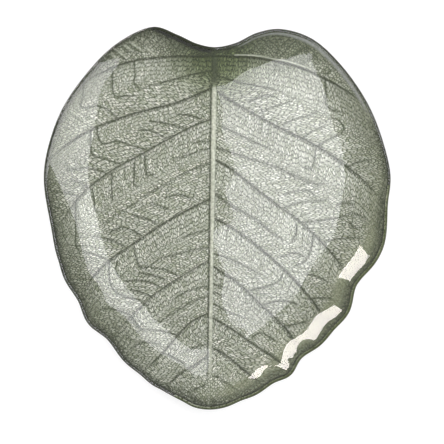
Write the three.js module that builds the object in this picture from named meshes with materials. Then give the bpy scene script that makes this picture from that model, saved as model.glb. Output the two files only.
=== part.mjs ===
import * as THREE from 'three';

// Leaf-shaped cake plate: a pressed clear-glass leaf, coloured from below, standing on four clear pads.
// Millimetres, +Z up. The leaf's notch points to +Y, its tip to -Y, and the pads' feet are at Z = 0.

// The leaf seen from above
const LEAF_LENGTH = 280;
const LEAF_WIDTH = 254;
const SCALLOP_DEPTH = 4;

// The glass in section
const GLASS_WALL = 4.5;
const VALLEY_BLEND = 24;
const RIM_RIPPLE = 0.8;
const LIP_REACH = 22;
const EDGE_NOSE = 2.2;

// The rim rises high round the tip half, low round the base half and a little more again toward the notch.
// TIP_HALF and BASE_HALF are the levels along Y between which the rise changes. NOTCH_REACH is counted in
// margin points.
const RIM_WIDTH = 38.5;
const TIP_RISE = 16;
const BASE_RISE = 7.5;
const NOTCH_RISE = 3.5;
const TIP_HALF = -18;
const BASE_HALF = 67;
const NOTCH_REACH = 5;

// The rim is narrower at the two shoulders of the leaf; place and reach are in margin points
const SHOULDER_TUCK = 12.5;
const SHOULDER_PLACE = 4.7;
const SHOULDER_REACH = 1.8;

// The vein grooves in the underside
const MIDRIB_WIDTH = 5;
const MIDRIB_TIP_WIDTH = 2.4;
const MIDRIB_DEPTH = 0.6;
const MIDRIB_START = 11;
const MIDRIB_FADE = 110;
const VEIN_WIDTH = 2.2;
const VEIN_END_WIDTH = 1.2;
const VEIN_DEPTH = 0.6;

// The films under the glass and the joint between neighbouring pieces
const COLOUR_COAT = 0.25;
const BACKING_COAT = 0.25;
const BOND_GAP = 0.05;

// The bumper pads
const PAD_DIAMETER = 10;
const PAD_FOOT = 6;
const PAD_HEIGHT = 2.2;
const PAD_BAND = 0.6;
const PAD_SPREAD_BASE = 104;
const PAD_SPREAD_TIP = 72;
const PAD_BASE_Y = 38;
const PAD_TIP_Y = -40;

// How finely the surfaces are divided, and the share of a vein's run at which its groove starts to fade and
// at which the closer columns of the rim start
const WELL_STEPS = 6;
const RIM_STEPS = 7;
const RIM_START = 0.64;
const VEIN_FADE = 0.72;
const NOSE_BANDS = 4;
const PAD_SIDES = 20;
const BLADE_ROWS = [2, 3, 2, 2, 2, 2, 1, 1];

// The margin as drawn, from the notch to the tip down each side. A third value is how far the margin bulges
// between this point and the next, as a share of the scallop depth.
const NOTCH = [-1.5, 125];
const TIP = [-5.5, -140];
const RIGHT = {
  sign: 1,
  margin: [
    [13.5, 128], [29, 135.5], [46, 138.5], [69.5, 132], [90, 114],
    [109, 87], [120.5, 60], [127, 31], [125, 11.5], [121, -22.5, 0.2],
    [102.5, -48.5, 0.9], [84, -83.5, 0.25], [62.5, -102, 0.9], [40, -121.5, 0.25], [16.5, -134],
    [5.5, -138.5],
  ],
  lobeCorner: 3,
  tipCorner: 15,
  // Each vein leaves the midrib at "root", passes the points of "via" and ends on the margin at point
  // number "tip"
  veins: [
    { root: 120, via: [[31.5, 118], [61, 111], [90.5, 97]], tip: 6.05 },
    { root: 94.5, via: [[13.5, 84.5], [43, 68], [76, 51.5], [105.5, 30]], tip: 9 },
    { root: 43.5, via: [[11, 35.5], [35.5, 16], [62.5, -4], [83.5, -25]], tip: 11 },
    { root: 0.5, via: [[12, -8], [39, -28.5], [61, -50], [75.5, -68]], tip: 12 },
    { root: -35.5, via: [[13.5, -46.5], [33, -64.5], [53.5, -85.5]], tip: 13 },
    { root: -73, via: [[9.5, -81], [28, -94], [42, -103]], tip: 13.45 },
    { root: -95, via: [[6, -101], [22, -114]], tip: 14.2 },
  ],
};
const LEFT = {
  sign: -1,
  margin: [
    [-14.5, 127.5], [-28.5, 134], [-46.5, 140], [-74.5, 127.5], [-98.5, 103],
    [-115, 77], [-125, 46], [-126.5, 26], [-121, -6.5], [-116, -30, 0.3],
    [-102, -59.5, 0.9], [-79, -90, 0.35], [-55.5, -115, 0.15], [-39, -126.5], [-26, -133.5], [-16, -138.5],
  ],
  lobeCorner: 3,
  tipCorner: 15,
  veins: [
    { root: 119.5, via: [[-38, 119], [-64, 115.5], [-87, 106.5]], tip: 5.05 },
    { root: 97, via: [[-27, 86], [-64, 76], [-93, 65], [-111.5, 53.5]], tip: 7.1 },
    { root: 73.5, via: [[-20, 66.5], [-56.5, 46.5], [-80.5, 33], [-101.5, 15.5]], tip: 9.1 },
    { root: 15, via: [[-34.5, -1], [-64, -20.5], [-79, -31], [-93.5, -46]], tip: 11 },
    { root: -30, via: [[-20, -39.5], [-45.5, -56], [-63.5, -73]], tip: 12 },
    { root: -69.5, via: [[-20, -77.5], [-38.5, -98]], tip: 13 },
    { root: -101, via: [[-16, -108.5], [-27, -115]], tip: 14 },
  ],
};

const { lerp, smoothstep } = THREE.MathUtils;
const flat = (x, y) => new THREE.Vector3(x, y, 0);

// The drawn margin as one smooth closed curve, fitted to the leaf's length and width
const stations = [NOTCH, ...RIGHT.margin, TIP, ...[...LEFT.margin].reverse()];
const count = stations.length;
const drawnLoop = new THREE.CatmullRomCurve3(stations.map(([x, y]) => flat(x, y)), true, 'centripetal');
const drawnBox = new THREE.Box3().setFromPoints(drawnLoop.getPoints(count * 24));
const drawnSize = drawnBox.getSize(flat(0, 0));
const drawnMiddle = drawnBox.getCenter(flat(0, 0));
const fit = (x, y) => flat(
  (x - drawnMiddle.x) * LEAF_WIDTH / drawnSize.x,
  (y - drawnMiddle.y) * LEAF_LENGTH / drawnSize.y,
);

// A place on the margin is a point number along one side; both sides run into one loop
const place = (side, p) => (side.sign > 0 ? p : count - p);
const bulge = new Array(count).fill(0);
for (const side of [RIGHT, LEFT]) {
  side.margin.forEach(([, , share = 0], i) => {
    bulge[side.sign > 0 ? i + 1 : count - i - 2] = share;
  });
}
const wave = (p) => {
  const q = THREE.MathUtils.euclideanModulo(p, count);
  return bulge[Math.floor(q)] * Math.sin(Math.PI * (q % 1)) ** 2;
};
const baseMargin = (p) => {
  const q = drawnLoop.getPoint(THREE.MathUtils.euclideanModulo(p, count) / count);
  return fit(q.x, q.y);
};
const PROBE = 0.01;
const outward = (curve, p) => {
  const along = curve(p + PROBE).sub(curve(p - PROBE)).normalize();
  return flat(-along.y, along.x);
};
const outline = (p) => baseMargin(p).addScaledVector(outward(baseMargin, p), SCALLOP_DEPTH * wave(p));
const outlineOut = (p) => outward(outline, p);
const faceMargin = (p) => outline(p).addScaledVector(outlineOut(p), -EDGE_NOSE);

// The unscalloped margin, eased over its neighbouring points so that the rim follows it in a smooth sweep
const RAIL_STEPS = 12;
const RAIL_EASE = 8;
const tipPlace = RIGHT.margin.length + 1;
const eased = (i) => {
  const sum = flat(0, 0);
  for (let k = -RAIL_EASE; k <= RAIL_EASE; k += 1) {
    sum.addScaledVector(baseMargin((i + k) / RAIL_STEPS), RAIL_EASE + 1 - Math.abs(k));
  }
  return sum.divideScalar((RAIL_EASE + 1) ** 2);
};
const rail = Array.from({ length: count * RAIL_STEPS + 1 }, (_, i) => eased(i));

// How far a point lies inside one side of that margin, and where along it the point is nearest
const nearest = (point, fromPlace, toPlace) => {
  let best = { gap: Infinity, p: 0, depth: 0 };
  for (let i = fromPlace * RAIL_STEPS; i < toPlace * RAIL_STEPS; i += 1) {
    const run = rail[i + 1].clone().sub(rail[i]);
    const to = point.clone().sub(rail[i]);
    const k = THREE.MathUtils.clamp(to.dot(run) / run.lengthSq(), 0, 1);
    const gap = to.clone().addScaledVector(run, -k).length();
    if (gap < best.gap) {
      const turn = run.x * to.y - run.y * to.x;
      best = { gap, p: (i + k) / RAIL_STEPS, depth: turn <= 0 ? gap : -gap };
    }
  }
  return best;
};

// The rim's width and full rise by the place on the margin, counted from the notch on either side
const fromNotch = (p) => Math.min(p, count - p);
const rimWidth = (p) => {
  const off = Math.min(1, Math.abs(fromNotch(p) - SHOULDER_PLACE) / SHOULDER_REACH);
  return RIM_WIDTH - SHOULDER_TUCK * (1 - off ** 2) ** 2;
};
const rimRise = (p, y) => {
  const half = lerp(TIP_RISE, BASE_RISE, smoothstep(y, TIP_HALF, BASE_HALF));
  return half + NOTCH_RISE * (1 - smoothstep(fromNotch(p), 0, NOTCH_REACH));
};

// The depth inside the whole margin: the nearer side's, rounded off in the valley where both are alike
const inside = (point) => {
  const sides = [nearest(point, 0, tipPlace), nearest(point, tipPlace, count)];
  const near = sides[0].gap <= sides[1].gap ? sides[0] : sides[1];
  const reach = VALLEY_BLEND * THREE.MathUtils.clamp(near.depth / rimWidth(near.p), 0, 1);
  const apart = Math.abs(sides[0].depth - sides[1].depth);
  const rounding = reach > 0 ? Math.max(0, reach - apart) ** 2 / (4 * reach) : 0;
  return { p: near.p, depth: near.depth - rounding, apart };
};

// Heights: a flat well and a rim that curves up evenly out of it, its lip lifted a little at each scallop
const underLevel = PAD_HEIGHT + 3 * BOND_GAP + BACKING_COAT + COLOUR_COAT;
const heights = (point) => {
  const { p, depth, apart } = inside(point);
  const lip = wave(p) * (1 - smoothstep(depth, 0, LIP_REACH)) * smoothstep(apart, 0, VALLEY_BLEND);
  const climb = Math.max(0, rimWidth(p) - depth - SCALLOP_DEPTH * lip) / RIM_WIDTH;
  const rise = rimRise(p, point.y);
  const slope = 2 * rise * climb / RIM_WIDTH;
  const top = underLevel + GLASS_WALL + rise * climb ** 2 + RIM_RIPPLE * lip;
  return { top, under: top - GLASS_WALL * Math.hypot(1, slope), slope };
};

// The midrib runs straight from the notch to the tip; veins are smooth curves from it to the margin
const midribTop = faceMargin(0);
const midribEnd = faceMargin(tipPlace);
const midribShare = (y) => (midribTop.y - y) / (midribTop.y - midribEnd.y);
const onMidrib = (y) => midribTop.clone().lerp(midribEnd, midribShare(y));
const veinCurve = (side, { root, via, tip }) => {
  const between = via.map(([x, y]) => fit(x, y));
  const knots = [onMidrib(fit(0, root).y), ...between, faceMargin(place(side, tip))];
  return new THREE.CatmullRomCurve3(knots, false, 'centripetal');
};

// The lines that split one half of the leaf into bands: the notch margin, the veins and the tip margin
const bandLines = (side) => {
  const sideTip = side.margin.length + 1;
  const first = {
    at: (s) => faceMargin(place(side, side.lobeCorner * s)),
    p: side.lobeCorner,
    edge: (s) => side.lobeCorner * s,
  };
  const last = {
    at: (s) => faceMargin(place(side, lerp(sideTip, side.tipCorner, s))),
    p: side.tipCorner,
    edge: (s) => lerp(sideTip, side.tipCorner, s),
  };
  const veins = side.veins.map((vein) => {
    const curve = veinCurve(side, vein);
    return { at: (s) => curve.getPointAt(s), p: vein.tip, vein: true };
  });
  return [first, ...veins, last];
};

// A point of the band between two lines, at share f from one to the other and share s out to the margin
const bandPoint = (side, a, b, f, s) => {
  const a0 = a.at(0);
  const b0 = b.at(0);
  const a1 = a.at(1);
  const b1 = b.at(1);
  const outer = faceMargin(place(side, lerp(a.p, b.p, f)));
  const inner = a0.clone().lerp(b0, f);
  const across = a.at(s).lerp(b.at(s), f);
  const along = inner.lerp(outer, s);
  const corners = a0.lerp(b0, f).lerp(a1.lerp(b1, f), s);
  return across.add(along).sub(corners);
};
const bandWidth = (a, b, s) => {
  const run = a.at(Math.min(1, s + PROBE)).sub(a.at(Math.max(0, s - PROBE))).normalize();
  const over = b.at(s).sub(a.at(s));
  return Math.abs(run.x * over.y - run.y * over.x);
};

// Rows down one half. Grooved rows close up to each vein's two shoulders, which spread out and fade toward
// the margin; plain rows are evenly spread.
const WIDEST_SHOULDER = 0.3;
const veinWidth = (s) => lerp(VEIN_WIDTH, VEIN_END_WIDTH, s);
const rows = (side, grooved) => {
  const lines = bandLines(side);
  const list = [];
  lines.slice(0, -1).forEach((a, i) => {
    const b = lines[i + 1];
    const steps = BLADE_ROWS[i] + 3;
    const shoulder = (line, s) => {
      if (!line.vein) return 1 / steps;
      return Math.min(WIDEST_SHOULDER, veinWidth(s) / 2 / bandWidth(a, b, s));
    };
    for (let k = 0; k < steps; k += 1) {
      const even = () => k / steps;
      const spread = (s) => {
        const from = shoulder(a, s);
        const to = 1 - shoulder(b, s);
        const tight = k === 0 ? 0 : lerp(from, to, (k - 1) / (steps - 2));
        return lerp(tight, even(), smoothstep(s, VEIN_FADE, 1));
      };
      const first = k === 0;
      list.push({ side, a, b, f: grooved ? spread : even, crest: first && a.vein, edge: first && a.edge });
    }
  });
  const b = lines[lines.length - 1];
  list.push({ side, a: lines[lines.length - 2], b, f: () => 1, crest: false, edge: b.edge });
  return list;
};

// Columns across a row: the midrib, its shoulder, then out over the well and, closer together, the rim
const columnShare = (j, shoulder) => {
  if (j === 0) return 0;
  if (j <= WELL_STEPS) return lerp(shoulder, RIM_START, (j - 1) / (WELL_STEPS - 1));
  return lerp(RIM_START, 1, (j - WELL_STEPS) / RIM_STEPS);
};
const lastColumn = WELL_STEPS + RIM_STEPS;
const midribWidth = (y) => lerp(MIDRIB_WIDTH, MIDRIB_TIP_WIDTH, midribShare(y));
const midribDepth = (y) => {
  const rising = smoothstep(midribTop.y - y, 0, MIDRIB_START);
  return MIDRIB_DEPTH * rising * smoothstep(y - midribEnd.y, 0, MIDRIB_FADE);
};
const veinDepth = (s) => VEIN_DEPTH * (1 - smoothstep(s, VEIN_FADE, 1));

// One surface of the leaf, as rows of points on each half
const surface = (grooved) => [RIGHT, LEFT].map((side) => rows(side, grooved).map((row) => {
  const near = bandPoint(side, row.a, row.b, row.f(PROBE), PROBE);
  const start = bandPoint(side, row.a, row.b, row.f(0), 0);
  const shoulder = PROBE * midribWidth(start.y) / 2 / Math.abs(near.x - start.x);
  return Array.from({ length: lastColumn + 1 }, (_, j) => {
    const s = columnShare(j, grooved ? shoulder : RIM_START / WELL_STEPS);
    const at = bandPoint(side, row.a, row.b, row.f(s), s);
    const { top, under, slope } = heights(at);
    const midrib = j === 0 ? midribDepth(at.y) : 0;
    const groove = Math.max(midrib, row.crest && j > 0 ? veinDepth(s) : 0);
    const p = row.edge ? row.edge(s) : lerp(row.a.p, row.b.p, row.f(1));
    return { at, top, under: under + groove, slope, p: place(side, p) };
  });
}));

// The places of the leaf's rim in order round the edge, as half, row and column
const edgePlaces = (halves) => {
  const end = halves[0].length - 1;
  const half = (h) => {
    const list = [];
    for (let j = 0; j < lastColumn; j += 1) list.push([h, 0, j]);
    for (let r = 0; r < end; r += 1) list.push([h, r, lastColumn]);
    for (let j = lastColumn; j > 0; j -= 1) list.push([h, end, j]);
    return list;
  };
  return [...half(0), [0, end, 0], ...half(1).reverse().slice(0, -1)];
};

// A closed body between an upper and a lower surface, with bands of points round its edge
const closedBody = (upper, lower, bands) => {
  const points = [];
  const faces = [];
  const lay = (halves) => halves.map((half, h) => half.map((row) => row.map((v, j) => {
    if (h === 1 && j === 0) return null;
    points.push(v.x, v.y, v.z);
    return points.length / 3 - 1;
  })));
  const pick = (grid, [h, r, j]) => (j === 0 ? grid[0][r][0] : grid[h][r][j]);
  const cover = (grid, up) => grid.forEach((half, h) => {
    const addFace = (a, b, c) => faces.push(...((h === 0) === up ? [a, b, c] : [a, c, b]));
    for (let r = 0; r + 1 < half.length; r += 1) {
      for (let j = h; j < lastColumn; j += 1) {
        const [a, b, c, d] = [half[r][j], half[r + 1][j], half[r + 1][j + 1], half[r][j + 1]];
        addFace(a, b, c);
        addFace(a, c, d);
      }
    }
    if (h === 0) return;
    // The left half's first strip joins the midrib's points, which lie at the right half's heights along it
    const rib = grid[0].map((row) => row[0]);
    const beside = half.map((row) => row[1]);
    const along = (chain, i) => (i < chain.length ? points[3 * chain[i] + 1] : -Infinity);
    let i = 0;
    let k = 0;
    while (i + 1 < rib.length || k + 1 < beside.length) {
      if (along(rib, i + 1) >= along(beside, k + 1)) {
        addFace(rib[i], rib[i + 1], beside[k]);
        i += 1;
      } else {
        addFace(rib[i], beside[k + 1], beside[k]);
        k += 1;
      }
    }
  });
  const top = lay(upper);
  const bottom = lay(lower);
  cover(top, true);
  cover(bottom, false);
  const places = edgePlaces(upper);
  const between = bands.map((band) => band.map((v) => {
    points.push(v.x, v.y, v.z);
    return points.length / 3 - 1;
  }));
  const loops = [places.map((q) => pick(top, q)), ...between, places.map((q) => pick(bottom, q))];
  for (let k = 0; k + 1 < loops.length; k += 1) {
    for (let i = 0; i < places.length; i += 1) {
      const n = (i + 1) % places.length;
      const [a, b, c, d] = [loops[k][i], loops[k][n], loops[k + 1][n], loops[k + 1][i]];
      faces.push(a, b, c, a, c, d);
    }
  }
  const geometry = new THREE.BufferGeometry();
  geometry.setAttribute('position', new THREE.Float32BufferAttribute(points, 3));
  geometry.setIndex(faces);
  geometry.computeVertexNormals();
  return geometry;
};

const smooth = surface(false);
const grooved = surface(true);
const level = (halves, z) => {
  const raised = (v) => v.at.clone().setZ(z(v));
  return halves.map((half) => half.map((row) => row.map(raised)));
};

// The glass: smooth above, grooved below, with a rounded edge that carries on the slope of the rim
const noseBands = () => {
  const places = edgePlaces(smooth);
  return Array.from({ length: NOSE_BANDS - 1 }, (_, k) => {
    const angle = Math.PI * (k + 1) / NOSE_BANDS;
    return places.map(([h, r, j]) => {
      const over = smooth[h][r][j];
      const below = grooved[h][r][j];
      const reach = EDGE_NOSE * Math.sin(angle);
      const share = (1 - Math.cos(angle)) / 2;
      const at = over.at.clone().lerp(below.at, share);
      at.addScaledVector(outlineOut(lerp(over.p, below.p, share)), reach);
      return at.setZ(lerp(over.top, below.under, share) + over.slope * reach);
    });
  });
};
const glassLeaf = () => closedBody(level(smooth, (v) => v.top), level(grooved, (v) => v.under), noseBands());

// A film that follows the glass's underside, lying between two depths below it
const film = (from, to) => closedBody(
  level(grooved, (v) => v.under - from),
  level(grooved, (v) => v.under - to),
  [],
);

// A clear bumper pad with a flat foot and a rounded shoulder
const pad = (x, y) => {
  const foot = PAD_FOOT / 2;
  const side = PAD_DIAMETER / 2;
  const shoulder = PAD_HEIGHT - PAD_BAND;
  const turn = [0, 0.25, 0.5, 0.75, 1].map((t) => new THREE.Vector2(
    lerp(foot, side, Math.sin(t * Math.PI / 2)),
    shoulder * (1 - Math.cos(t * Math.PI / 2)),
  ));
  const bond = [new THREE.Vector2(side, PAD_HEIGHT), new THREE.Vector2(0, PAD_HEIGHT)];
  const profile = [new THREE.Vector2(0, 0), ...turn, ...bond];
  const geometry = new THREE.LatheGeometry(profile, PAD_SIDES);
  return geometry.rotateX(Math.PI / 2).translate(x, y, 0);
};

const plate = new THREE.Group();
plate.name = 'leaf_cake_plate';
const add = (name, geometry, look) => {
  const mesh = new THREE.Mesh(geometry, new THREE.MeshStandardMaterial(look));
  mesh.name = name;
  mesh.material.name = name;
  plate.add(mesh);
};

add('glass_leaf', glassLeaf(), { color: 0xd3dcd0, roughness: 0.05, metalness: 0 });
const coatEnd = BOND_GAP + COLOUR_COAT;
add('colour_coat', film(BOND_GAP, coatEnd), { color: 0x8f9684, roughness: 0.3, metalness: 0.7 });
const backingEnd = coatEnd + BOND_GAP + BACKING_COAT;
const backingLook = { color: 0xa9aca2, roughness: 0.5, metalness: 0.2 };
add('backing_coat', film(coatEnd + BOND_GAP, backingEnd), backingLook);
const padLook = { color: 0xe6ebe8, roughness: 0.35, metalness: 0 };
add('pad_base_right', pad(PAD_SPREAD_BASE / 2, PAD_BASE_Y), padLook);
add('pad_base_left', pad(-PAD_SPREAD_BASE / 2, PAD_BASE_Y), padLook);
add('pad_tip_right', pad(PAD_SPREAD_TIP / 2, PAD_TIP_Y), padLook);
add('pad_tip_left', pad(-PAD_SPREAD_TIP / 2, PAD_TIP_Y), padLook);

export default plate;
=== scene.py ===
import math

import bpy
import numpy as np
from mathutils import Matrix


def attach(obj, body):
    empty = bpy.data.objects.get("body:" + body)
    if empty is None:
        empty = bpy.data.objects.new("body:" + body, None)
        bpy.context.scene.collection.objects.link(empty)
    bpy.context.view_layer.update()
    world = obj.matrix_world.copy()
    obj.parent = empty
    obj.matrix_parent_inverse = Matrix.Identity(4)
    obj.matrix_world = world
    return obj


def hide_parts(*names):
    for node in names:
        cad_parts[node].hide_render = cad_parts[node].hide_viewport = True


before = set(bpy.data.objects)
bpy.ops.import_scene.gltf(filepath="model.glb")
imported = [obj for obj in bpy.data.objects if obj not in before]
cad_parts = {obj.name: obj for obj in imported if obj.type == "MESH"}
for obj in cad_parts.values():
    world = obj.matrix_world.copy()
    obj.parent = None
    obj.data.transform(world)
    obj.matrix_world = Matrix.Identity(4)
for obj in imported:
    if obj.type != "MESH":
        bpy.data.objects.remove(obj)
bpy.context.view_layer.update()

# A leaf-shaped cake plate of clear pressed glass, coloured from below and standing on four clear pads.
# Sizes are in millimetres and become metres when a mesh is made.

LEAF_LENGTH = 280
LEAF_WIDTH = 254
SCALLOP_DEPTH = 4

GLASS_WALL = 4.5
VALLEY_BLEND = 24
RIM_RIPPLE = 0.8
LIP_REACH = 22
EDGE_NOSE = 2.2

# The pressed top swells very slightly, as two crossing waves that are weaker on the rim. A wave is given by
# its radians per millimetre across and along the leaf, and by where it starts.
PRESS_WAVE = 0.05
PRESS_SWELLS = [(0.105, 0.05, -2.34), (0.08, 0.15, -0.64)]
SWELL_LOSS = 0.8
SWELL_CLIMB = 0.5

# The rim rises high round the tip half, low round the base half and a little more again toward the notch.
# It is narrower at the two shoulders. Places and reaches are in margin points.
RIM_WIDTH = 38.5
TIP_RISE = 16
BASE_RISE = 7.5
NOTCH_RISE = 3.5
TIP_HALF = -18
BASE_HALF = 67
NOTCH_REACH = 5
SHOULDER_TUCK = 12.5
SHOULDER_PLACE = 4.7
SHOULDER_REACH = 1.8

MIDRIB_WIDTH = 5
MIDRIB_TIP_WIDTH = 2.4
MIDRIB_DEPTH = 0.6
MIDRIB_START = 11
MIDRIB_FADE = 110

COLOUR_COAT = 0.25
BACKING_COAT = 0.25
BOND_GAP = 0.05

PAD_DIAMETER = 10
PAD_FOOT = 6
PAD_HEIGHT = 2.2
PAD_BAND = 0.6
PAD_PLACES = {
    "pad_base_right": (52, 38),
    "pad_base_left": (-52, 38),
    "pad_tip_right": (36, -40),
    "pad_tip_left": (-36, -40),
}

# The margin as drawn, from the notch to the tip down each side. A third value is how far the margin bulges
# between this point and the next, as a share of the scallop depth. Each main vein leaves the midrib at its
# first value, passes the points of its list and ends on the margin at a point number.
NOTCH = (-1.5, 125)
TIP = (-5.5, -140)
RIGHT = {
    "sign": 1,
    "margin": [
        (13.5, 128), (29, 135.5), (46, 138.5), (69.5, 132), (90, 114),
        (109, 87), (120.5, 60), (127, 31), (125, 11.5), (121, -22.5, 0.2),
        (102.5, -48.5, 0.9), (84, -83.5, 0.25), (62.5, -102, 0.9), (40, -121.5, 0.25),
        (16.5, -134), (5.5, -138.5),
    ],
    "veins": [
        (120, [(31.5, 118), (61, 111), (90.5, 97)], 6.05),
        (94.5, [(13.5, 84.5), (43, 68), (76, 51.5), (105.5, 30)], 9),
        (43.5, [(11, 35.5), (35.5, 16), (62.5, -4), (83.5, -25)], 11),
        (0.5, [(12, -8), (39, -28.5), (61, -50), (75.5, -68)], 12),
        (-35.5, [(13.5, -46.5), (33, -64.5), (53.5, -85.5)], 13),
        (-73, [(9.5, -81), (28, -94), (42, -103)], 13.45),
        (-95, [(6, -101), (22, -114)], 14.2),
    ],
}
LEFT = {
    "sign": -1,
    "margin": [
        (-14.5, 127.5), (-28.5, 134), (-46.5, 140), (-74.5, 127.5), (-98.5, 103),
        (-115, 77), (-125, 46), (-126.5, 26), (-121, -6.5), (-116, -30, 0.3),
        (-102, -59.5, 0.9), (-79, -90, 0.35), (-55.5, -115, 0.15), (-39, -126.5),
        (-26, -133.5), (-16, -138.5),
    ],
    "veins": [
        (119.5, [(-38, 119), (-64, 115.5), (-87, 106.5)], 5.05),
        (97, [(-27, 86), (-64, 76), (-93, 65), (-111.5, 53.5)], 7.1),
        (73.5, [(-20, 66.5), (-56.5, 46.5), (-80.5, 33), (-101.5, 15.5)], 9.1),
        (15, [(-34.5, -1), (-64, -20.5), (-79, -31), (-93.5, -46)], 11),
        (-30, [(-20, -39.5), (-45.5, -56), (-63.5, -73)], 12),
        (-69.5, [(-20, -77.5), (-38.5, -98)], 13),
        (-101, [(-16, -108.5), (-27, -115)], 14),
    ],
}
LOBE_CORNER = 3
TIP_CORNER = 15

# Veins drawn between the main ones as the points they pass: strong ones that end short of the margin,
# lesser ones beside the midrib, and the cross veins that hang from one vein and bend over to the next
STRONG_VEINS = [
    [(-5, 41), (-20, 35), (-34.5, 27), (-49.5, 18.5), (-64, 8.5), (-79, -1), (-88.5, -7.5)],
    [(-0.5, 52), (13.5, 47.5), (28, 42.5), (43, 38), (57.5, 31),
     (71, 25.5), (75, 24.5), (78, 27), (80.5, 31)],
    [(-0.5, 17.5), (9.5, 10), (22, 3), (31.5, -3), (40.5, -11), (52.5, -18)],
    [(-6, -21.5), (-20, -24), (-34.5, -28), (-42, -29.5)],
    [(-7.5, -57.5), (-20, -62.5), (-34.5, -71.5), (-42, -76), (-47, -76.5)],
]
LESSER_VEINS = [
    [(-5, 108.5), (-20, 105.5), (-34.5, 101.5), (-49.5, 97.5), (-58, 94.5)],
    [(-5, 51.5), (-20, 47), (-33, 42.5)],
    [(-5, 56.5), (-20, 55.5)],
    [(-6, -8.5), (-20, -12.5), (-30, -16.5)],
    [(-7.5, -50.5), (-20, -53.5), (-33, -60.5)],
    [(-7.5, -93), (-16, -95.5), (-27, -101)],
    [(-8, -123.5), (-16, -126.5), (-22, -129)],
    [(1.5, 105), (13.5, 101), (31.5, 97), (45, 94), (54.5, 89)],
    [(3.5, 67.5), (17, 61), (29.5, 55), (39, 51), (48.5, 46.5)],
    [(-1.5, -26.5), (9.5, -30), (23, -36.5), (36, -43.5)],
    [(-3, -63), (9.5, -69.5), (23.5, -75)],
    [(-2, -49), (7.5, -52)],
    [(-2, -55), (7.5, -58.5)],
    [(-2, -116), (6.5, -122), (18.5, -129)],
]
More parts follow.
